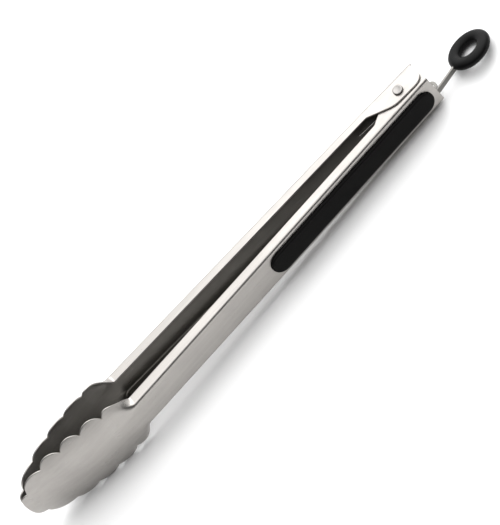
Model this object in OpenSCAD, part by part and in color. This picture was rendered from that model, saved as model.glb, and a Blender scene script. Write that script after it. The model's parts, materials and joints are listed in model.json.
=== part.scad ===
/* [Arms] */
// Length of an arm from the tip of its head to the rear end of its web
arm_len = 305; // [290:1:330]
// Thickness of the steel sheet
sheet_t = 1; // [0.8:0.1:1.2]
// Height of the near arm's web at the pivot
web_rear_h = 21.5; // [20:0.1:22]
// Height of both webs at the neck, just behind the head
web_neck_h = 19.6; // [18:0.1:20]
// Distance from the pivot axis to the outside of each web
web_offset = 8.35; // [8.3:0.05:8.6]
// Depth of the flanges at the neck, measured from the outside of the web
flange_depth = 6.3; // [5.8:0.1:6.6]
// Depth of the flanges where the ears begin
flange_rear_depth = 5.4; // [5:0.1:6]
// Angle that each arm makes with the centre plane when the tongs are closed
closed_half_angle = 1.51; // [1.4:0.01:1.7]

/* [Head] */
// Length of the scalloped head, tip to neck
head_len = 76; // [70:1:84]
// Angle that the head turns in from the line of the web
head_tilt = 9.6; // [9:0.1:9.8]
// Radius of the head's curve across its width
head_cross_r = 52; // [51:1:60]
// Rise of a scallop above the line through its two cusps
scallop_rise = 4; // [3:0.1:4.5]

/* [Pivot] */
// Distance from the pivot axis to the rear end of the webs
pivot_to_end = 13.8; // [12.5:0.1:15]
// Diameter of the pivot rivet's shank
rivet_d = 3.6; // [3:0.1:4]
// Diameter of the pivot rivet's heads
rivet_head_d = 5.8; // [5:0.1:7]
// Height of the pivot rivet's heads
rivet_head_h = 1.2; // [0.8:0.1:1.5]
// Outside diameter of the bush round the rivet
bush_d = 6; // [5.4:0.1:6.2]
// Radial running clearance of every hole on the rivet
run_gap = 0.05; // [0.03:0.01:0.08]
// Clearance between the near arm's ears and the far arm's ears
ear_gap = 0.15; // [0.1:0.05:0.3]

/* [Grips] */
// Length of the soft inlay in each web
grip_len = 123; // [110:1:126]
// Height of the soft inlay
grip_h = 14; // [12:0.1:14.4]
// Amount that the inlay stands proud of the web
grip_proud = 2; // [1:0.1:2.4]
// Depth of the pocket that the inlay is bonded into
grip_recess = 0.5; // [0.3:0.1:0.6]

/* [Spring] */
// Diameter of the spring wire
wire_d = 1.4; // [1.2:0.1:1.5]
// Number of turns in the spring's coil
spring_turns = 5; // [4:1:5]
// Length of each leg of the spring
spring_leg = 31; // [25:1:32]

/* [Lock] */
// Thickness of the lock slide's sheet
slide_t = 1; // [0.8:0.1:1.2]
// Distance that the lock slide travels along the bush
slide_travel = 12; // [11:0.5:12]
// Height of the slide's tail where it enters the ring
tail_h = 3.4; // [3:0.1:4]
// Angle of the tail across the centre plane
tail_angle = 10; // [8:1:11]

/* [Ring] */
// Outside diameter of the hanging ring
ring_od = 25.9; // [24:0.1:28]
// Diameter of the hole in the hanging ring
ring_hole_d = 11.2; // [9:0.1:11.6]
// Thickness of the hanging ring
ring_t = 5.6; // [5:0.1:7]
// Distance from the pivot axis to the centre of the ring, tongs locked
ring_reach = 41.5; // [41:0.5:46]
// Roll of the ring about the length of the tongs
ring_roll = -16; // [-18:1:0]

/* [Hidden] */
$fn = 64;

// Half heights of the two channels; the far arm's ears straddle the near arm's
neck_half = web_neck_h / 2;
near_half = web_rear_h / 2;
far_half = near_half + ear_gap + sheet_t;
// The channels keep one height over the ears and then taper to the neck
ear_start = -21.7;
ear_bend = -8.6;
ear_full = -4.4;
straight_from = -26;
neck_x = -(arm_len - pivot_to_end - head_len);
tip_x = neck_x - head_len;
// Ears reach past the pivot axis by this much, and are a little short of it where they bend
ear_past = 5.4;
ear_bend_short = 0.9;
// Rear outline of an ear, from its inner edge round to the web
near_ear_tail = [[3, 5.2], [6, 4.5], [9.4, 2.6], [12.6, 0.6], [13.8, -1.4]];
far_ear_tail = [[8.8, ear_past], [11.4, 4.6], [12.9, 3], [13.8, 1]];

// The last scallop, at the neck, ends this far along the channel and is fuller than the others
neck_reach = 3.5;
neck_rise = 5;
// Cusps of the scalloped edge: distance from the tip, half height
cusps = [[6.1, 10.1], [21, 18], [35, 19.1], [48.5, 19.2], [62.5, 17.6],
    [head_len + neck_reach, neck_half]];
// The channel runs this far into the head
neck_lap = 4;
// Head's surface starts this far inside the plane of the web and this far behind the neck
head_inset = 0.1;
head_set_back = 1;
// The head's outline is cut through everything up to this far past the pivot axis
head_cut = 14;

// Chords in each scallop
arc_steps = 8;

function mid(a, b) = (a + b) / 2;
function bump_r(a, b, rise) = (pow(norm(b - a) / 2, 2) + rise * rise) / (2 * rise);
function bump_in(a, b) = [b[1] - a[1], a[0] - b[0]] / norm(b - a);
function bump_c(a, b, rise) = mid(a, b) + bump_in(a, b) * (bump_r(a, b, rise) - rise);
function bearing(c, p) = atan2(p[1] - c[1], p[0] - c[0]);
// Points on the arc that bulges from a to b, without b itself
function arc_points(a, b, rise) = let (
        c = bump_c(a, b, rise),
        from = bearing(c, a),
        to = bearing(c, b)
    ) [for (i = [0:arc_steps - 1])
        let (t = from + (to - from) * i / arc_steps) c + bump_r(a, b, rise) * [cos(t), sin(t)]];
// Half of the tip's outline, a blunt superellipse, from the middle of the object outward
tip_power = 2 / 2.8;
tip_points = [for (i = [0:arc_steps - 1])
    let (t = 90 * i / arc_steps)
        [cusps[0][0] * (1 - pow(cos(t), tip_power)), cusps[0][1] * pow(sin(t), tip_power)]];

// The frame's origin is under the middle of the whole object. Closing turns the tip forward
// by tip_swing, and the lower edge of the widest scallop is the lowest point
tip_swing = 0.1;
widest = 3;
low_z = bump_c(cusps[widest - 1], cusps[widest], scallop_rise)[1]
    + bump_r(cusps[widest - 1], cusps[widest], scallop_rise);
front_x = tip_x - tip_swing;
rear_x = ring_reach + ring_od / 2;
shift = [-(front_x + rear_x) / 2, 0, low_z];

// Grip inlay
grip_end = pivot_to_end - 3.2;
grip_fit = 0.1;

// Pivot stack
shank_r = rivet_d / 2;
bore_r = shank_r + run_gap;
collar_h = 0.6;
peen_h = 0.8;
bush_end_gap = 0.1;
bush_half = near_half - sheet_t - bush_end_gap;

// Lock slide: a slotted plate with one side folded down into the tail
slide_front = -8;
slide_rear = 17;
slide_half_w = 5.3;
slide_end_r = 3.6;
slide_taper = 5.5;
slide_neck = 2.4;
slide_neck_half_w = 3.2;
slot_gap = 0.2;
fold_len = 6;
tail_clear = 1.15;
tail_low = -near_half + sheet_t + tail_clear;
slide_z = tail_low + tail_h - slide_t / 2;
tail_y = -4.8;
tail_bend_x = 10;

// Spring coil, clear of the bush inside it and of the lock slide below it
coil_gap = 0.6;
coil_lift = 0.5;
coil_r = bush_d / 2 + coil_gap + wire_d / 2;
coil_z = slide_z + slide_t / 2 + coil_lift;
// Half thickness of the ring that stands for the coil, a little over the wire's radius
coil_wall = wire_d / 2 + 0.06;
// Angle between each leg and the centre plane, and the legs' distance inside the coil's ends
leg_spread = 5;
leg_inset = 0.1;
coil_h = spring_turns * wire_d;

// Hanging ring: the hole takes ring_land off its round inner side
ring_land = 0.25;
ring_mid_r = (ring_od / 2 + ring_hole_d / 2 - ring_land) / 2;
ring_side_r = ring_t / 2;
ring_flat = (ring_od / 2 - ring_mid_r) - ring_side_r;
ring_z = tail_low + tail_h / 2;
tail_in_ring = 5;

// Longer than any cut needs
big = 60;

module placed() {
    translate(shift) children();
}

// Turns a flat drawing of length and height into a slab that spans y0 to y1
module slab(y0, y1) {
    translate([0, y1, 0]) rotate([90, 0, 0]) linear_extrude(y1 - y0) children();
}

// Side outline of a channel with the given half height at the pivot
module channel_side(half, inset) {
    polygon([
        [pivot_to_end, -half + inset],
        [straight_from, -half + inset],
        [neck_x, -neck_half + inset],
        [neck_x - neck_lap, -neck_half + inset],
        [neck_x - neck_lap, neck_half - inset],
        [neck_x, neck_half - inset],
        [straight_from, half - inset],
        [pivot_to_end, half - inset]
    ]);
}

// Flat outline of a flange with its ear, seen along the pivot axis
module flange_plan(ear_tail) {
    edge = flange_depth - web_offset;
    rear_edge = flange_rear_depth - web_offset;
    polygon(concat([
        [neck_x - neck_lap, -web_offset],
        [neck_x - neck_lap, edge - 2 * neck_lap / 3],
        [neck_x + neck_lap, edge],
        [ear_start, rear_edge],
        [ear_bend, ear_past - ear_bend_short],
        [ear_full, ear_past]
    ], ear_tail, [[pivot_to_end, -web_offset]]));
}

// Scalloped outline of the head, tip at x = 0, as one chain of arcs
module head_outline() {
    last = len(cusps) - 1;
    upper = [for (i = [0:last - 1]) each arc_points(cusps[i], cusps[i + 1],
        i == last - 1 ? neck_rise : scallop_rise)];
    half = concat(tip_points, upper, [[head_len + neck_reach, neck_half - 1]]);
    count = len(half);
    polygon(concat(half, [for (i = [count - 1:-1:1]) [half[i][0], -half[i][1]]]));
}

// Trough whose outside is the head's cupped surface, thinned from outside by t
module trough(t) {
    translate([neck_x + head_set_back, -web_offset + head_inset, 0]) rotate([0, 0, -head_tilt])
        translate([big / 2, head_cross_r, 0]) rotate([0, -90, 0])
            cylinder(h = 3 * big, r = head_cross_r - t);
}

module head() {
    intersection() {
        slab(-web_offset - 1, head_cut) translate([tip_x, 0]) head_outline();
        difference() {
            trough(0);
            trough(sheet_t);
        }
    }
}

// Outline of the pocket that the grip fills, grown by g
module grip_outline(g) {
    r = grip_h / 2;
    front = grip_end - grip_len + r;
    translate([front, 0]) circle(r + g);
    translate([grip_end - r, 0]) circle(r + g);
    translate([front, -r - g]) square([grip_len - 2 * r, 2 * (r + g)]);
}

// One arm in its own frame: pivot axis at the origin, web along -X on the -Y side
module arm(half, ear_tail) {
    difference() {
        union() {
            intersection() {
                slab(-web_offset, ear_past + 1) channel_side(half, 0);
                translate([0, 0, -half]) linear_extrude(2 * half) flange_plan(ear_tail);
            }
            head();
        }
        slab(-web_offset + sheet_t, big) hollow_side(half);
        slab(-big, -web_offset + grip_recess) grip_outline(0);
        cylinder(h = big, r = bore_r, center = true);
    }
}

// Space between the flanges, run out past the rear end of the channel
module hollow_side(half) {
    channel_side(half, sheet_t);
    translate([0, -half + sheet_t]) square([big, 2 * (half - sheet_t)]);
}

// Soft inlay bonded into the pocket, proud of the web
module grip() {
    slab(-web_offset - grip_proud, -web_offset + grip_recess) grip_outline(-grip_fit);
}

module near_side() {
    placed() rotate([0, 0, closed_half_angle]) children();
}

module far_side() {
    placed() mirror([0, 1, 0]) rotate([0, 0, closed_half_angle]) children();
}

module near_arm() {
    color([0.72, 0.71, 0.70]) near_side() arm(near_half, near_ear_tail);
}

module far_arm() {
    color([0.62, 0.61, 0.60]) far_side() arm(far_half, far_ear_tail);
}

module near_grip() {
    color([0.06, 0.06, 0.06]) near_side() grip();
}

module far_grip() {
    color([0.06, 0.06, 0.06]) far_side() grip();
}

// Rivet through all four ears, upper head formed and lower end peened
module pivot_rivet() {
    top = far_half + run_gap;
    bottom = -far_half - run_gap - collar_h;
    color([0.7, 0.7, 0.7]) placed() {
        translate([0, 0, bottom]) cylinder(h = top - bottom, r = shank_r);
        translate([0, 0, top]) cylinder(h = rivet_head_h, d = rivet_head_d);
        translate([0, 0, bottom - peen_h]) cylinder(h = peen_h, d = rivet_head_d - 1);
    }
}

module rivet_collar() {
    color([0.66, 0.66, 0.66]) placed() translate([0, 0, -far_half - run_gap - collar_h]) {
        difference() {
            cylinder(h = collar_h, d = rivet_head_d);
            translate([0, 0, -1]) cylinder(h = collar_h + 2, r = bore_r);
        }
    }
}

module pivot_bush() {
    color([0.75, 0.75, 0.75]) placed() difference() {
        cylinder(h = 2 * bush_half, d = bush_d, center = true);
        cylinder(h = 2 * bush_half + 2, r = bore_r, center = true);
    }
}

// Leg of the spring, leaving the coil on its near side at height z
module spring_leg_at(z) {
    rotate([0, 0, leg_spread]) translate([0, -coil_r, z]) rotate([0, -90, 0])
        cylinder(h = spring_leg, d = wire_d);
}

// The closely wound coil as one ring, with its two legs
module torsion_spring() {
    color([0.6, 0.6, 0.6]) placed() {
        translate([0, 0, coil_z]) difference() {
            cylinder(h = coil_h, r = coil_r + coil_wall);
            translate([0, 0, -1]) cylinder(h = coil_h + 2, r = coil_r - coil_wall);
        }
        spring_leg_at(coil_z + coil_wall + leg_inset);
        mirror([0, 1, 0]) spring_leg_at(coil_z + coil_h - coil_wall - leg_inset);
    }
}

// Flat outline of the slide's plate, wide between the arms and round at its rear
module slide_plan() {
    shoulder = slide_rear - slide_taper;
    neck = slide_rear - slide_neck;
    difference() {
        union() {
            polygon([
                [slide_front, -slide_half_w],
                [shoulder, -slide_half_w],
                [neck, -slide_neck_half_w],
                [neck, slide_neck_half_w],
                [shoulder, slide_half_w],
                [slide_front, slide_half_w]
            ]);
            translate([slide_rear - slide_end_r, 0]) circle(slide_end_r);
        }
        circle(bush_d / 2 + slot_gap);
        translate([slide_travel, 0]) circle(bush_d / 2 + slot_gap);
        translate([0, -bush_d / 2 - slot_gap]) square([slide_travel, bush_d + 2 * slot_gap]);
    }
}

// Tail strip from the folded side of the slide into the ring
module tail() {
    len = ring_reach - ring_od / 2 + tail_in_ring - tail_bend_x;
    translate([tail_bend_x, tail_y, tail_low]) rotate([0, 0, tail_angle])
        translate([0, -slide_t / 2, 0]) cube([len, slide_t, tail_h]);
}

module lock_slide() {
    color([0.7, 0.69, 0.68]) placed() {
        translate([0, 0, slide_z - slide_t / 2]) linear_extrude(slide_t) slide_plan();
        translate([tail_bend_x - fold_len + 1, -slide_half_w, tail_low])
            cube([fold_len, slide_t, tail_h]);
        tail();
    }
}

// Soft ring, moulded over the end of the tail
module hang_ring() {
    color([0.08, 0.08, 0.08]) placed() difference() {
        translate([ring_reach, 0, ring_z]) rotate([ring_roll, 0, 0]) difference() {
            rotate_extrude() {
                translate([ring_mid_r - ring_flat, 0]) circle(ring_side_r);
                translate([ring_mid_r + ring_flat, 0]) circle(ring_side_r);
                translate([ring_mid_r - ring_flat, -ring_side_r]) square([2 * ring_flat, ring_t]);
            }
            cylinder(h = big, d = ring_hole_d, center = true);
        }
        tail();
    }
}

near_arm();
far_arm();
near_grip();
far_grip();
pivot_rivet();
rivet_collar();
pivot_bush();
torsion_spring();
lock_slide();
hang_ring();
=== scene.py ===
import json
import math

import bmesh
import bpy
import numpy as np
from mathutils import Matrix, Vector


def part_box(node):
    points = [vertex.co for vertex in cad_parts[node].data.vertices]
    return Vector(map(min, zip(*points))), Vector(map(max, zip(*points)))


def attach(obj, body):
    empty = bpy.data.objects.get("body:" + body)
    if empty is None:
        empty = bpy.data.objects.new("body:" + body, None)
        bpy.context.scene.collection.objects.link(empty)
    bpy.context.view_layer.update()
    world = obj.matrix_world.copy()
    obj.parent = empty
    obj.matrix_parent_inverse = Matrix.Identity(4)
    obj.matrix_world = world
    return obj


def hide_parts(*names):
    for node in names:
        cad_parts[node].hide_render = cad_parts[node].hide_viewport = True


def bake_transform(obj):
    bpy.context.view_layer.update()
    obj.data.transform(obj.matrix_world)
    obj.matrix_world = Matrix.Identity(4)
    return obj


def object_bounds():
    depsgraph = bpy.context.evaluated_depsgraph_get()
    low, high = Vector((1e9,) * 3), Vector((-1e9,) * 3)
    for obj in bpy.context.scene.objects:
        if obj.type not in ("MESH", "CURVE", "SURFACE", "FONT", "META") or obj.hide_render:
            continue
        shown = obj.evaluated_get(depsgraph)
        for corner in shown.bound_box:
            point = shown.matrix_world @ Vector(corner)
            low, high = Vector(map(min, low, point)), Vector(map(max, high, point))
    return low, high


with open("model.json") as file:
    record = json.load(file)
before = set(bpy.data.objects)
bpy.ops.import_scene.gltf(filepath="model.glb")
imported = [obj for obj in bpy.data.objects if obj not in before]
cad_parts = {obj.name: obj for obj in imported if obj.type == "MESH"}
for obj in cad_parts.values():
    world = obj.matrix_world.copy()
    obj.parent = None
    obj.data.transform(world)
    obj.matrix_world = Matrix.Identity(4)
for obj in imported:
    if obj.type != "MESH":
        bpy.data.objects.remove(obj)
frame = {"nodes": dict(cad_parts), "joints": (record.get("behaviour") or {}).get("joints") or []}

MM = 0.001
CAD_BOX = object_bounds()
PIVOT = np.array(next(j for j in frame["joints"] if j["name"] == "arm_open")["pos_m"])

# ---------------------------------------------------------------- dimensions, mm
# Arm, in its own frame: pivot axis at the origin, web along -X on the -Y side
SHEET_T = 1.0
WEB_OFFSET = 8.35
PIVOT_TO_END = 13.8
NECK_X = -215.2
HEAD_LEN = 76.0
TIP_X = NECK_X - HEAD_LEN
CLOSED_HALF_ANGLE = math.radians(1.51)
NECK_HALF = 9.8
NEAR_HALF = 10.75
FAR_HALF = 11.9
TAPER_FROM = -26.0
FLANGE_DEPTH = 6.3
FLANGE_REAR_DEPTH = 5.4
BEND_R = 1.9
# Ears: a straight ramp up from the flange's edge, then a level stretch past the pivot
EAR_START = -21.7
EAR_SLOPE = 0.57
EAR_PAST = 5.4
EAR_SOFTNESS = 1.6
# Head: cupped surface and scalloped edge
LONG_R = 200.0
CROSS_R = 49.5
SCALLOP_RISE = 4.0
NECK_RISE = 4.8
NECK_SKEW = 0.55
NECK_REACH = 3.5
TIP_POWER = 2.8
CUSPS = [(6.1, 10.1), (21, 18), (35, 19.1), (48.5, 19.2), (62.5, 17.6),
         (HEAD_LEN + NECK_REACH, NECK_HALF)]
# The sheet's edges are rounded by this much past the grid
RIM_BULGE = 0.22
# Head's surface starts this far inside the plane of the web
HEAD_INSET = 0.05
# The bowl folds into a channel over FOLD_LEN, from this far before the neck, and its rim
# rises to the flange's edge from RISE_LEN before the neck
FOLD_BEFORE = 13.0
FOLD_LEN = 17.0
RISE_LEN = 7.0
# Grip inlay
GRIP_LEN = 123.0
GRIP_H = 14.0
GRIP_END = PIVOT_TO_END - 3.2
GRIP_PROUD = 2.0
GRIP_RECESS = 0.5
GRIP_FIT = 0.1
GRIP_SHOULDER = 1.1
GRIP_CROWN = 0.15
# Distance in from the grip's edge, and how far short of full height it is there, in crowns
CROWN_STEPS = ((2.4, 0.6), (4.2, 0.2))


def to_frame(points, far=False):
    """Points of an arm's own frame, in mm, as points of the object's frame, in metres."""
    p = np.asarray(points, float)
    c, s = math.cos(CLOSED_HALF_ANGLE), math.sin(CLOSED_HALF_ANGLE)
    out = np.stack([p[..., 0] * c - p[..., 1] * s, p[..., 0] * s + p[..., 1] * c, p[..., 2]], -1)
    if far:
        out[..., 1] *= -1
    return out * MM + PIVOT


def smoothstep(t):
    t = np.clip(t, 0, 1)
    return t * t * (3 - 2 * t)


# ---------------------------------------------------------------- materials
class Nodes:
    """A new material's node tree, with its shader and object coordinates at hand."""

    def __init__(self, name):
        self.mat = bpy.data.materials.new(name)
        self.mat.use_nodes = True
        self.tree = self.mat.node_tree
        self.shader = self.tree.nodes["Principled BSDF"]
        self.coords = self.new("ShaderNodeTexCoord").outputs["Object"]

    def new(self, kind, **settings):
        node = self.tree.nodes.new(kind)
        for key, value in settings.items():
            setattr(node, key, value)
        return node

    def link(self, a, b):
        self.tree.links.new(a, b)

    def set(self, **values):
        for key, value in values.items():
            self.shader.inputs[key.replace("_", " ")].default_value = value

    def noise(self, scale, stretch=(1, 1, 1), detail=3.0, roughness=0.6):
        """Noise with features of 1/scale metres, squeezed by stretch along each axis."""
        mapping = self.new("ShaderNodeMapping")
        mapping.inputs["Scale"].default_value = stretch
        self.link(self.coords, mapping.inputs["Vector"])
        tex = self.new("ShaderNodeTexNoise")
        tex.inputs["Scale"].default_value = scale
        tex.inputs["Detail"].default_value = detail
        tex.inputs["Roughness"].default_value = roughness
        self.link(mapping.outputs["Vector"], tex.inputs["Vector"])
        return tex.outputs["Fac"]

    def spread(self, value, low, high, start=0.3, end=0.7):
        """value, mapped from start..end to low..high."""
        node = self.new("ShaderNodeMapRange")
        for key, number in (("From Min", start), ("From Max", end), ("To Min", low), ("To Max", high)):
            node.inputs[key].default_value = number
        self.link(value, node.inputs["Value"])
        return node.outputs["Result"]

    def ramp(self, value, low, high, start=0.3, end=0.7):
        node = self.new("ShaderNodeValToRGB")
        for stop, position, colour in zip(node.color_ramp.elements, (start, end), (low, high)):
            stop.position = position
            stop.color = (*colour, 1)
        self.link(value, node.inputs["Fac"])
        return node.outputs["Color"]

    def mix(self, a, b, factor, blend="MIX"):
        node = self.new("ShaderNodeMix", data_type="RGBA", blend_type=blend)
        for key, value in (("Factor", factor), ("A", a), ("B", b)):
            socket = node.inputs[key]
            if isinstance(value, (int, float, tuple)):
                socket.default_value = value if isinstance(value, (int, float)) else (*value, 1)
            else:
                self.link(value, socket)
        return node.outputs["Result"]

    def bump(self, height, distance, strength=1.0, under=None):
        node = self.new("ShaderNodeBump")
        node.inputs["Strength"].default_value = strength
        node.inputs["Distance"].default_value = distance
        self.link(height, node.inputs["Height"])
        if under is not None:
            self.link(under, node.inputs["Normal"])
        return node.outputs["Normal"]


def brushed_steel(name, tint=(0.385, 0.368, 0.35), rough=0.32, stretch=(0.04, 1, 1), scale=2600):
    """Stainless sheet with fine brushing along X, cloudy patches and faint handling marks."""
    n = Nodes(name)
    lines = n.noise(scale, stretch, detail=2)
    streaks = n.noise(420, (0.03, 1, 1), detail=3)
    clouds = n.noise(38, (0.6, 1, 1), detail=4, roughness=0.55)
    smudge = n.noise(120, detail=5, roughness=0.7)
    dark = tuple(c * 0.88 for c in tint)
    light = tuple(c * 1.09 for c in tint)
    base = n.mix(n.ramp(clouds, dark, light), n.ramp(streaks, dark, light), 0.45)
    n.link(base, n.shader.inputs["Base Color"])
    rough_a = n.spread(lines, rough - 0.05, rough + 0.06)
    rough_b = n.spread(smudge, -0.035, 0.045)
    total = n.new("ShaderNodeMath", operation="ADD")
    n.link(rough_a, total.inputs[0])
    n.link(rough_b, total.inputs[1])
    n.link(total.outputs["Value"], n.shader.inputs["Roughness"])
    fine = n.bump(lines, 0.000012)
    n.link(n.bump(clouds, 0.00005, 0.5, under=fine), n.shader.inputs["Normal"])
    n.set(Metallic=1.0)
    return n.mat


def soft_rubber(name, colour=(0.0022, 0.0021, 0.0021), rough=0.6, specular=0.08):
    """Matt black elastomer with a fine eroded texture and a little dust in its hollows."""
    n = Nodes(name)
    grain = n.noise(5200, detail=3, roughness=0.7)
    mottle = n.noise(150, detail=4)
    dusty = tuple(c * 2.1 for c in colour)
    n.link(n.ramp(mottle, colour, dusty, 0.35, 0.8), n.shader.inputs["Base Color"])
    n.link(n.spread(mottle, rough - 0.06, rough + 0.08), n.shader.inputs["Roughness"])
    fine = n.bump(grain, 0.00006, 0.6)
    n.link(n.bump(mottle, 0.00008, 0.4, under=fine), n.shader.inputs["Normal"])
    n.set(Specular_IOR_Level=specular)
    return n.mat


STEEL = brushed_steel("arm_steel")
# darker copy of the arm steel: painted shade for the faces inside the channel
INNER_STEEL_PAINTED_SHADE = brushed_steel("arm_steel_inside_painted_shade", (0.18, 0.17, 0.155), 0.33)
TURNED = brushed_steel("turned_steel", (0.27, 0.26, 0.25), 0.3, (1, 1, 0.05), 1800)
WIRE = brushed_steel("spring_wire", (0.4, 0.39, 0.375), 0.24, (0.2, 0.2, 1), 1500)
# dark copy of the steel for the lock slide: painted shade for the shaded throat between the ears
STAMPED_PAINTED_SHADE = brushed_steel("stamped_steel_painted_shade", (0.17, 0.165, 0.155), 0.3)
RUBBER = soft_rubber("grip_rubber")
RING_RUBBER = soft_rubber("ring_rubber", (0.0015, 0.0015, 0.0015), 0.42, 0.1)


# ---------------------------------------------------------------- mesh helpers
def make_piece(name, verts, faces, material, body, smooth_angle=40):
    mesh = bpy.data.meshes.new(name)
    mesh.from_pydata([tuple(v) for v in verts], [], [tuple(f) for f in faces])
    mesh.validate()
    mesh.materials.append(material)
    obj = bpy.data.objects.new(name, mesh)
    bpy.context.scene.collection.objects.link(obj)
    shade(obj, smooth_angle)
    if body:
        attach(obj, body)
    return obj


def shade(obj, angle):
    """Smooth shading, with edges sharper than angle kept sharp."""
    mesh = obj.data
    mesh.shade_smooth()
    mesh.set_sharp_from_angle(angle=math.radians(angle))


MERGE_DISTANCE = 2e-6


def merge_close(obj):
    bm = bmesh.new()
    bm.from_mesh(obj.data)
    bmesh.ops.remove_doubles(bm, verts=bm.verts, dist=MERGE_DISTANCE)
    bmesh.ops.dissolve_degenerate(bm, edges=bm.edges, dist=MERGE_DISTANCE / 2)
    bmesh.ops.recalc_face_normals(bm, faces=bm.faces)
    bm.to_mesh(obj.data)
    bm.free()


def cut(obj, cutter):
    """Cuts the closed mesh cutter out of obj and removes the cutter."""
    mod = obj.modifiers.new("cut", "BOOLEAN")
    mod.operation = "DIFFERENCE"
    mod.solver = "EXACT"
    mod.object = cutter
    graph = bpy.context.evaluated_depsgraph_get()
    mesh = bpy.data.meshes.new_from_object(obj.evaluated_get(graph))
    obj.modifiers.clear()
    obj.data = mesh
    bpy.data.objects.remove(cutter)


def loops_to_faces(loops, closed=True):
    """Quads between loops of vertex numbers that have the same length."""
    faces = []
    for a, b in zip(loops, loops[1:]):
        count = len(a)
        for i in range(count if closed else count - 1):
            j = (i + 1) % count
            faces.append((a[i], a[j], b[j], b[i]))
    return faces


def lathe(profile, steps=96, closed=False):
    """Verts and faces of a profile of (radius, z) points turned round the Z axis."""
    angles = np.linspace(0, 2 * math.pi, steps, endpoint=False)
    rings = [np.stack([r * np.cos(angles), r * np.sin(angles), np.full(steps, z)], 1) for r, z in profile]
    loops = [list(range(i * steps, (i + 1) * steps)) for i in range(len(profile))]
    faces = loops_to_faces(loops + loops[:1] if closed else loops)
    if not closed:
        faces += [tuple(loops[0]), tuple(loops[-1])]
    return np.concatenate(rings), faces


# ---------------------------------------------------------------- arms
def arc(a, b, rise, steps):
    """Points on the arc from a to b that bulges outward by rise, without b."""
    a, b = np.array(a, float), np.array(b, float)
    chord = np.linalg.norm(b - a)
    radius = (chord ** 2 / 4 + rise ** 2) / (2 * rise)
    inward = np.array([b[1] - a[1], a[0] - b[0]]) / chord
    centre = (a + b) / 2 + inward * (radius - rise)
    start = math.atan2(*(a - centre)[::-1])
    end = math.atan2(*(b - centre)[::-1])
    t = np.linspace(start, end, steps, endpoint=False)
    return centre + radius * np.stack([np.cos(t), np.sin(t)], 1)


def head_stations(steps=22):
    """(distance from the tip, half height) along the scalloped edge, from tip to neck."""
    x, z = CUSPS[0]
    t = np.linspace(0, math.pi / 2, 2 * steps, endpoint=False)
    parts = [np.stack([x * (1 - np.cos(t) ** (2 / TIP_POWER)), z * np.sin(t) ** (2 / TIP_POWER)], 1)]
    for i, (a, b) in enumerate(zip(CUSPS, CUSPS[1:])):
        last = i == len(CUSPS) - 2
        parts.append(neck_curve(a, b, steps) if last else arc(a, b, SCALLOP_RISE, steps))
    return np.concatenate(parts)


def neck_curve(a, b, steps):
    """Last scallop: fullest near its cusp at a, then running out smoothly into the channel at b."""
    a, b = np.array(a, float), np.array(b, float)
    t = np.linspace(0, 1, steps, endpoint=False)[:, None]
    early = t ** NECK_SKEW
    outward = np.array([a[1] - b[1], b[0] - a[0]]) / np.linalg.norm(b - a)
    return a + (b - a) * t + outward * NECK_RISE * 4 * early * (1 - early)


def head_surface(x, z):
    """Y of the head's outside at x and z, both in the arm's own frame."""
    reach = np.maximum(0, NECK_X - x)
    return -WEB_OFFSET + HEAD_INSET + reach ** 2 / (2 * LONG_R) + z ** 2 / (2 * CROSS_R)


def ear_edge(x, tail):
    """Y of a flange's inner edge: tapering, then ramping up to the ear, then round its end."""
    t = np.clip((x - NECK_X) / (TAPER_FROM - NECK_X), 0, 1)
    level = FLANGE_DEPTH + (FLANGE_REAR_DEPTH - FLANGE_DEPTH) * t - WEB_OFFSET
    ramp = level + EAR_SLOPE * max(0.0, x - EAR_START)
    y = (ramp + EAR_PAST - math.sqrt((ramp - EAR_PAST) ** 2 + EAR_SOFTNESS ** 2)) / 2
    at_start = (level + EAR_PAST - math.sqrt((level - EAR_PAST) ** 2 + EAR_SOFTNESS ** 2)) / 2
    y += level - at_start
    start, drop, power = tail
    past = np.clip((x - start) / (PIVOT_TO_END - start), 0, 1)
    return y - drop * (1 - max(0.0, 1 - past ** power) ** (1 / power))


def half_height(x, rear_half):
    t = np.clip((x - NECK_X) / (TAPER_FROM - NECK_X), 0, 1)
    return NECK_HALF + (rear_half - NECK_HALF) * t


WEB_STEPS, BEND_STEPS, FLANGE_STEPS = 14, 14, 18
DENSE_STEPS = 160
# Spacing of the stations along X: fine behind the neck and round the ears, wide between
NECK_FINE_LEN, NECK_STEP = 14, 0.7
BODY_STEP = 4.0
EARS_FROM, EARS_STEP = -30, 0.6
TAIL_FROM, TAIL_STEPS = 6, 36


def bend_curve(start, corner, end, weight, steps):
    """Rational quadratic curve from start to end round corner; weight 1 is a parabola."""
    t = np.linspace(0, 1, steps)[:, None]
    a, b, c = (1 - t) ** 2, 2 * t * (1 - t) * weight, t ** 2
    return (a * start + b * corner + c * end) / (a + b + c)


def section(x, fold, rim, rear_half, share):
    """Upper half of the sheet's outside at x, as (y, z) points from the middle to the rim.

    fold is 1 for a channel with a square bend and 0 for the head's shallow bowl.
    """
    half = half_height(x, rear_half)
    middle = np.array([head_surface(x, 0) * (1 - fold) - WEB_OFFSET * fold, 0])
    corner = np.array([middle[0], half * fold + rim[1] / 2 * (1 - fold)])
    along_web = (1 - BEND_R / half) * fold
    along_flange = 1 - fold + fold * BEND_R / max(np.linalg.norm(rim - corner), BEND_R)
    start = middle + (corner - middle) * along_web
    end = corner + (rim - corner) * along_flange
    weight = 1 - (1 - math.sqrt(0.5)) * fold
    line = np.concatenate([[middle], bend_curve(start, corner, end, weight, DENSE_STEPS), [rim]])
    run = np.concatenate([[0], np.cumsum(np.linalg.norm(np.diff(line, axis=0), axis=1))])
    return np.stack([np.interp(share * run[-1], run, line[:, k]) for k in (0, 1)], 1)


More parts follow.
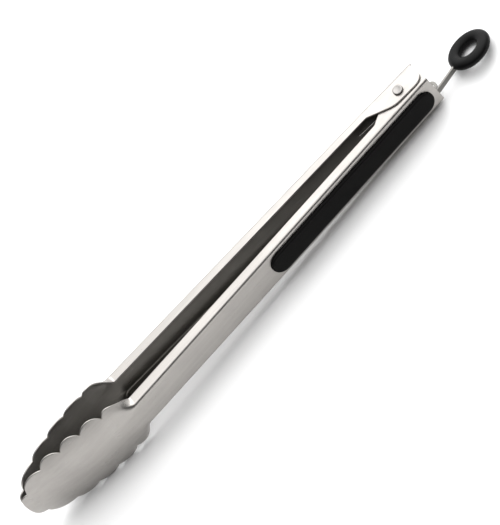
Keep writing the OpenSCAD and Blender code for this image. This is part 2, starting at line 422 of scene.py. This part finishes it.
def point_shares():
    """Where the points of a section lie along it: closest together round the bend."""
    web, bend = NECK_HALF - BEND_R, BEND_R * math.pi / 2
    flange = FLANGE_DEPTH - BEND_R
    parts = [np.linspace(0, web, WEB_STEPS, endpoint=False),
             web + np.linspace(0, bend, BEND_STEPS, endpoint=False),
             web + bend + np.linspace(0, flange, FLANGE_STEPS)]
    return np.concatenate(parts) / (web + bend + flange)


def arm_grid(rear_half, tail):
    """Grid of points on the arm's outside: stations along X, and across from lower to upper edge."""
    edge = head_stations()
    neck_end = NECK_X + NECK_REACH
    head_x = TIP_X + edge[:, 0]
    neck_x = np.arange(neck_end, neck_end + NECK_FINE_LEN, NECK_STEP)
    body_x = np.arange(neck_x[-1] + 3, EARS_FROM, BODY_STEP)
    ear_x = np.concatenate([np.arange(EARS_FROM, TAIL_FROM, EARS_STEP),
                            np.linspace(TAIL_FROM, PIVOT_TO_END, TAIL_STEPS)])
    xs = np.concatenate([head_x, neck_x, body_x, ear_x])
    share = point_shares()
    rows = []
    for i, x in enumerate(xs):
        fold = smoothstep((x - (NECK_X - FOLD_BEFORE)) / FOLD_LEN)
        if i < len(edge):
            z = max(0.0, edge[i, 1] - RIM_BULGE * min(1, edge[i, 1]))
            # the rim comes up from the bowl to the flange's edge as the head narrows
            rise = smoothstep((x - (NECK_X - RISE_LEN)) / (RISE_LEN + NECK_REACH))
            y = head_surface(x, z) * (1 - rise) + ear_edge(x, tail) * rise
            rim = np.array([y, z])
        else:
            rim = np.array([ear_edge(x, tail), half_height(x, rear_half)])
        half = section(x, fold, rim, rear_half, share)
        upper = np.stack([np.full(len(half), x), half[:, 0], half[:, 1]], 1)
        lower = upper[:0:-1] * [1, 1, -1]
        rows.append(np.concatenate([lower, upper]))
    return np.array(rows)


def inward_normals(grid):
    """Unit normals of the grid that point into the channel."""
    along = np.gradient(grid, axis=0)
    across = np.gradient(grid, axis=1)
    normal = np.cross(across, along)
    length = np.linalg.norm(normal, axis=2, keepdims=True)
    normal = normal / np.maximum(length, 1e-9)
    # near the tip the grid closes to a point, so its normals come from the head's formula
    x, z = grid[..., 0], grid[..., 2]
    reach = np.maximum(0, NECK_X - x)
    formula = np.stack([reach / LONG_R, np.ones_like(x), -z / CROSS_R], -1)
    formula /= np.linalg.norm(formula, axis=2, keepdims=True)
    in_head = (x < NECK_X - FOLD_BEFORE)[..., None]
    return np.where(in_head, formula, normal)


def sheet_arm(name, rear_half, tail, far, body):
    """One pressed sheet: the outer grid, an inner grid one thickness in, and rounded edges."""
    outer = arm_grid(rear_half, tail)
    inner = outer + SHEET_T * inward_normals(outer)
    rows, cols = outer.shape[:2]
    rim_steps = 3

    def rim(o, i, outward):
        """Rounded edge between the outside o and the inside i of the sheet."""
        mid, half = (o + i) / 2, (o - i) / 2
        turns = [math.pi * k / (rim_steps + 1) for k in range(1, rim_steps + 1)]
        return [mid + half * math.cos(a) + outward * RIM_BULGE * math.sin(a) for a in turns]

    def unit(v):
        return v / np.maximum(np.linalg.norm(v, axis=-1, keepdims=True), 1e-9)

    low_out = unit(outer[:, 0] - outer[:, 1])
    high_out = unit(outer[:, -1] - outer[:, -2])
    low_out[0] = high_out[0] = (-1, 0, 0)
    # each station is one closed loop: outside, upper rim, inside, lower rim
    loops = []
    for r in range(rows):
        points = list(outer[r]) + rim(outer[r, -1], inner[r, -1], high_out[r])
        points += list(inner[r][::-1]) + rim(inner[r, 0], outer[r, 0], low_out[r])
        loops.append(points)
    loops = np.array(loops)
    # the rear end of the sheet is rounded like its other edges
    ends = []
    for k in range(1, rim_steps + 1):
        a = math.pi / 2 * k / rim_steps
        last = loops[-1]
        o_part = len(outer[0])
        mate = np.concatenate([inner[-1], last[o_part:o_part + rim_steps][::-1], outer[-1][::-1],
                               last[-rim_steps:][::-1]])
        mid = (last + mate) / 2
        ring = mid + (last - mid) * math.cos(a) + np.array([RIM_BULGE, 0, 0]) * math.sin(a)
        ends.append(ring)
    loops = np.concatenate([loops, np.array(ends)])
    count = loops.shape[1]
    index = [list(range(i * count, (i + 1) * count)) for i in range(len(loops))]
    verts = to_frame(loops.reshape(-1, 3), far)
    obj = make_piece(name, verts, loops_to_faces(index), STEEL, None)
    # faces between the flanges get a darker copy of the steel: painted shade for the shadowed inside of
    # the channel
    obj.data.materials.append(INNER_STEEL_PAINTED_SHADE)
    for face in obj.data.polygons:
        across = face.index % count
        face.material_index = int(cols + rim_steps <= across < 2 * cols + rim_steps - 1)
    merge_close(obj)
    cut(obj, pocket_cutter(far))
    shade(obj, 50)
    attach(obj, body)
    return obj


def stadium(inset, steps=28):
    """Outline of the grip, drawn in by inset, as (x, z) points."""
    r = max(GRIP_H / 2 - inset, 0.02)
    rear, front = GRIP_END - GRIP_H / 2, GRIP_END - GRIP_LEN + GRIP_H / 2
    t = np.linspace(-math.pi / 2, math.pi / 2, steps)
    right = np.stack([rear + r * np.cos(t), r * np.sin(t)], 1)
    left = np.stack([front - r * np.cos(t), -r * np.sin(t)], 1)
    return np.concatenate([right, left])


def stadium_solid(profile, far):
    """Verts and faces of nested grip outlines: profile lists (inset, y)."""
    rings = []
    for inset, y in profile:
        outline = stadium(inset)
        rings.append(np.stack([outline[:, 0], np.full(len(outline), y), outline[:, 1]], 1))
    count = len(rings[0])
    index = [list(range(i * count, (i + 1) * count)) for i in range(len(rings))]
    verts = to_frame(np.concatenate(rings), far)
    return verts, loops_to_faces(index) + [tuple(index[0]), tuple(index[-1])]


def pocket_cutter(far):
    """Solid that cuts the grip's pocket, from well outside the web."""
    clear = 3
    profile = [(0, -WEB_OFFSET - clear), (0, -WEB_OFFSET + GRIP_RECESS)]
    obj = make_piece("pocket_cutter", *stadium_solid(profile, far), STEEL, None)
    merge_close(obj)
    return obj


def grip(name, far, body):
    """Soft pad bonded into the pocket, with round shoulders and a slightly crowned face."""
    face = -WEB_OFFSET - GRIP_PROUD
    edge = face + GRIP_CROWN
    profile = [(GRIP_FIT, -WEB_OFFSET + GRIP_RECESS), (GRIP_FIT, -WEB_OFFSET),
               (GRIP_FIT, edge + GRIP_SHOULDER)]
    for a in np.linspace(0, math.pi / 2, 9)[1:]:
        inset = GRIP_FIT + GRIP_SHOULDER * (1 - math.cos(a))
        profile.append((inset, edge + GRIP_SHOULDER * (1 - math.sin(a))))
    profile += [(inset, face + short * GRIP_CROWN) for inset, short in CROWN_STEPS]
    profile.append((GRIP_H / 2, face))
    obj = make_piece(name, *stadium_solid(profile, far), RUBBER, None, 60)
    merge_close(obj)
    shade(obj, 60)
    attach(obj, body)
    return obj


# Rear end of each ear: where its edge starts to turn down, how far it drops, and how square it is
NEAR_TAIL = (-1.0, 7.2, 1.6)
FAR_TAIL = (7.0, 5.0, 2.2)
near_arm = sheet_arm("near_arm_sheet", NEAR_HALF, NEAR_TAIL, False, "near_side")
far_arm = sheet_arm("far_arm_sheet", FAR_HALF, FAR_TAIL, True, "far_side")
near_grip = grip("near_grip_inlay", False, "near_side")
far_grip = grip("far_grip_inlay", True, "far_side")
for piece, node, slot in (
    (near_arm, "near_arm", "near_steel"),
    (far_arm, "far_arm", "far_steel"),
    (near_grip, "near_grip", "grip_rubber"),
    (far_grip, "far_grip", "grip_rubber"),
):
    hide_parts(node)


# ---------------------------------------------------------------- pivot
RIVET_R = 2.9
RIVET_HEAD_H = 1.2
SHANK_R = 1.8
HEAD_GAP = 0.05
HEAD_CHAMFER_H, HEAD_CHAMFER_W = 0.35, 0.5
COLLAR_H = 0.6
PEEN_H = 0.8
PEEN_WALL = 0.2


def rivet():
    """Rivet with a flat, chamfered upper head and a peened lower end."""
    top = FAR_HALF + HEAD_GAP
    bottom = -FAR_HALF - HEAD_GAP - COLLAR_H
    peen_r = RIVET_R - HEAD_CHAMFER_W
    land = RIVET_R - HEAD_CHAMFER_W
    wall = top + RIVET_HEAD_H - HEAD_CHAMFER_H
    crest = top + RIVET_HEAD_H
    # straight wall, rounded chamfer, then a land that dips slightly in the middle
    head = [(RIVET_R, wall), (RIVET_R - 0.06, wall + 0.14), (RIVET_R - 0.22, wall + 0.27),
            (land, crest), (land - 0.3, crest), (0.8 * land, crest - 0.04), (0.05, crest - 0.12)]
    peen = [(peen_r * math.sin(a), bottom - PEEN_WALL - (PEEN_H - PEEN_WALL) * math.cos(a))
            for a in np.linspace(0.04, math.pi / 2, 12)]
    profile = peen + [(peen_r, bottom), (SHANK_R, bottom), (SHANK_R, top), (RIVET_R - 0.15, top),
                      (RIVET_R, top + 0.12)] + head
    verts, faces = lathe(profile, 72)
    obj = make_piece("rivet", verts * MM + PIVOT, faces, TURNED, None, 50)
    merge_close(obj)
    shade(obj, 50)
    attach(obj, "near_side")
    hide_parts("pivot_rivet")


rivet()


# ---------------------------------------------------------------- spring
WIRE_R = 0.7
COIL_R = 4.3
COIL_LOW = -4.7
COIL_HEIGHT = 7.0
COIL_TURNS = 4.5
LEG_LEN = 31.0
LEG_SPREAD = math.radians(5)
COIL_STEPS = 260
WIRE_SIDES = 14
# Share of the coil's rise that is eased, so that its ends lie flat
EASED = 0.25
# Clear space above and below the coil
COIL_SPARE = 0.02


def spring():
    """Wire wound round the bush, with a straight leg into each channel."""
    low, high = COIL_LOW + WIRE_R + COIL_SPARE, COIL_LOW + COIL_HEIGHT - WIRE_R - COIL_SPARE
    start = -math.pi / 2 + LEG_SPREAD
    end = start + 2 * math.pi * COIL_TURNS - 2 * LEG_SPREAD
    turns = np.linspace(start, end, COIL_STEPS)
    # the first and last stretches lie flat, as on a closed coil, so that the legs leave squarely
    done = (turns - start) / (end - start)
    rise = smoothstep(done * 0.94 + 0.03) * EASED + (1 - EASED) * done
    rise = (rise - rise[0]) / (rise[-1] - rise[0])
    coil = np.stack([COIL_R * np.cos(turns), COIL_R * np.sin(turns), low + (high - low) * rise], 1)
    near_dir = np.array([-math.cos(LEG_SPREAD), -math.sin(LEG_SPREAD), 0])
    far_dir = near_dir * [1, -1, 1]
    along = np.linspace(LEG_LEN, 0.8, 30)[:, None]
    path = np.concatenate([coil[0] + near_dir * along, coil, coil[-1] + far_dir * along[::-1]])
    tangent = np.gradient(path, axis=0)
    tangent /= np.linalg.norm(tangent, axis=1, keepdims=True)
    side = np.cross(tangent, (0, 0, 1))
    side /= np.linalg.norm(side, axis=1, keepdims=True)
    up = np.cross(side, tangent)
    angles = np.linspace(0, 2 * math.pi, WIRE_SIDES, endpoint=False)
    rings = [p + WIRE_R * (np.outer(np.cos(angles), s) + np.outer(np.sin(angles), u))
             for p, s, u in zip(path, side, up)]
    index = [list(range(i * WIRE_SIDES, (i + 1) * WIRE_SIDES)) for i in range(len(rings))]
    faces = loops_to_faces(index) + [tuple(index[0]), tuple(index[-1])]
    obj = make_piece("spring_wire", np.concatenate(rings) * MM + PIVOT, faces, WIRE, None, 50)
    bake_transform(obj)
    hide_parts("torsion_spring")


spring()


# ---------------------------------------------------------------- ring
RING_OUT_R = 12.95
RING_HOLE_R = 5.6
RING_HALF_T = 2.8
RING_CENTRE = np.array([41.5, 0, -6.9])
RING_ROLL = math.radians(-16)
# The hole takes this much off the ring's round inner side
RING_LAND = 0.25
# Power of the section's superellipse; 2 would be a plain ellipse
RING_POWER = 2.15


def ring():
    """Soft ring with full round shoulders and a short straight land in its hole."""
    mid_r = (RING_OUT_R + RING_HOLE_R - RING_LAND) / 2
    half_w = RING_OUT_R - mid_r
    power = 2 / RING_POWER
    profile = []
    for a in np.linspace(0, 2 * math.pi, 56, endpoint=False):
        c, s = math.cos(a), math.sin(a)
        r = mid_r + half_w * math.copysign(abs(c) ** power, c)
        profile.append((max(r, RING_HOLE_R), RING_HALF_T * math.copysign(abs(s) ** power, s)))
    verts, faces = lathe(profile, 128, closed=True)
    turn = np.array(Matrix.Rotation(RING_ROLL, 3, "X"))
    verts = verts @ turn.T + RING_CENTRE
    obj = make_piece("ring_soft", verts * MM + PIVOT, faces, RING_RUBBER, "lock", 60)
    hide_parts("hang_ring")


ring()


# ---------------------------------------------------------------- carried-over CAD nodes
def finish_node(node, material, bevel):
    """Gives a CAD node its material and softens its sharp edges by bevel, in mm."""
    obj = frame["nodes"][node]
    obj.data.materials.clear()
    obj.data.materials.append(material)
    mod = obj.modifiers.new("soft_edges", "BEVEL")
    mod.width = bevel * MM
    mod.segments = 3
    mod.limit_method = "ANGLE"
    mod.angle_limit = math.radians(40)


finish_node("lock_slide", STAMPED_PAINTED_SHADE, 0.18)
finish_node("pivot_bush", TURNED, 0.2)
finish_node("rivet_collar", TURNED, 0.12)


# ---------------------------------------------------------------- stage, light and camera
LOWEST_SCALLOP_X = -0.131
RING_REST_X = 0.160
FLOOR_HALF = 4.0
FLOOR_GAP = 0.0001


def floor():
    """Pale surface that the lower scallops and the ring rest on."""
    head_z = CAD_BOX[0][2]
    ring_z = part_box("hang_ring")[0][2]
    slope = (ring_z - head_z) / (RING_REST_X - LOWEST_SCALLOP_X)
    corners = [(x, y, head_z + slope * (x - LOWEST_SCALLOP_X) - FLOOR_GAP)
               for x, y in ((-FLOOR_HALF, -FLOOR_HALF), (FLOOR_HALF, -FLOOR_HALF),
                            (FLOOR_HALF, FLOOR_HALF), (-FLOOR_HALF, FLOOR_HALF))]
    n = Nodes("floor_paint")
    n.link(n.ramp(n.noise(6), (0.94, 0.94, 0.94), (0.955, 0.955, 0.955)), n.shader.inputs["Base Color"])
    n.set(Roughness=0.85, Specular_IOR_Level=0.1)
    obj = make_piece("floor", corners, [(0, 1, 2, 3)], n.mat, None)


def area_light(name, place, aim, size, power):
    data = bpy.data.lights.new(name, "AREA")
    data.shape = "RECTANGLE"
    data.size, data.size_y = size
    data.energy = power
    obj = bpy.data.objects.new(name, data)
    bpy.context.scene.collection.objects.link(obj)
    obj.location = place
    obj.rotation_euler = (Vector(aim) - Vector(place)).to_track_quat("-Z", "Y").to_euler()


SKY_CENTRE = (0.4, 0.6, 0.69)
# Pairs: cosine of the angle from the surround's brightest part, brightness there
SKY = ((0.0, 0.1), (0.3, 0.32), (0.6, 0.85), (0.83, 1.55), (0.94, 3.7))


def world_light():
    """Studio surround: one broad soft light overhead and behind, dim on the camera's side."""
    world = bpy.data.worlds.new("studio")
    bpy.context.scene.world = world
    world.use_nodes = True
    tree = world.node_tree
    coords = tree.nodes.new("ShaderNodeTexCoord")
    dot = tree.nodes.new("ShaderNodeVectorMath")
    dot.operation = "DOT_PRODUCT"
    dot.inputs[1].default_value = Vector(SKY_CENTRE).normalized()
    ramp = tree.nodes.new("ShaderNodeValToRGB")
    ramp.color_ramp.interpolation = "EASE"
    for stop in SKY[2:]:
        ramp.color_ramp.elements.new(stop[0])
    for element, (place, value) in zip(ramp.color_ramp.elements, SKY):
        element.position = place
        level = value / SKY[-1][1]
        element.color = (level, level, level, 1)
    tree.links.new(coords.outputs["Generated"], dot.inputs[0])
    tree.links.new(dot.outputs["Value"], ramp.inputs["Fac"])
    tree.links.new(ramp.outputs["Color"], tree.nodes["Background"].inputs["Color"])
    tree.nodes["Background"].inputs["Strength"].default_value = SKY[-1][1]


CAMERA_ELEVATION = math.radians(48.77)
CAMERA_AZIMUTH = math.radians(-87.26)
CAMERA_ROLL = math.radians(-48.94)
CAMERA_DISTANCE = 1.4404
CAMERA_AIM = Vector((0.00066, 0.00378, 0.0233))
IMAGE_WIDTH = 500
FOCAL_PX = 2755


def camera():
    back = Vector((math.cos(CAMERA_ELEVATION) * math.cos(CAMERA_AZIMUTH),
                   math.cos(CAMERA_ELEVATION) * math.sin(CAMERA_AZIMUTH), math.sin(CAMERA_ELEVATION)))
    right = Vector((0, 0, 1)).cross(back).normalized()
    up = back.cross(right)
    c, s = math.cos(CAMERA_ROLL), math.sin(CAMERA_ROLL)
    right, up = right * c + up * s, up * c - right * s
    data = bpy.data.cameras.new("camera")
    data.sensor_fit = "HORIZONTAL"
    data.lens = data.sensor_width * FOCAL_PX / IMAGE_WIDTH
    data.clip_end = 20
    obj = bpy.data.objects.new("camera", data)
    bpy.context.scene.collection.objects.link(obj)
    turn = Matrix((right, up, back)).transposed()
    obj.matrix_world = Matrix.Translation(CAMERA_AIM + back * CAMERA_DISTANCE) @ turn.to_4x4()
    bpy.context.scene.camera = obj


floor()
area_light("top", (0, -0.2, 1.8), (0, 0, 0), (2.4, 1.8), 20)
world_light()
bpy.context.scene.view_settings.view_transform = "Standard"
camera()
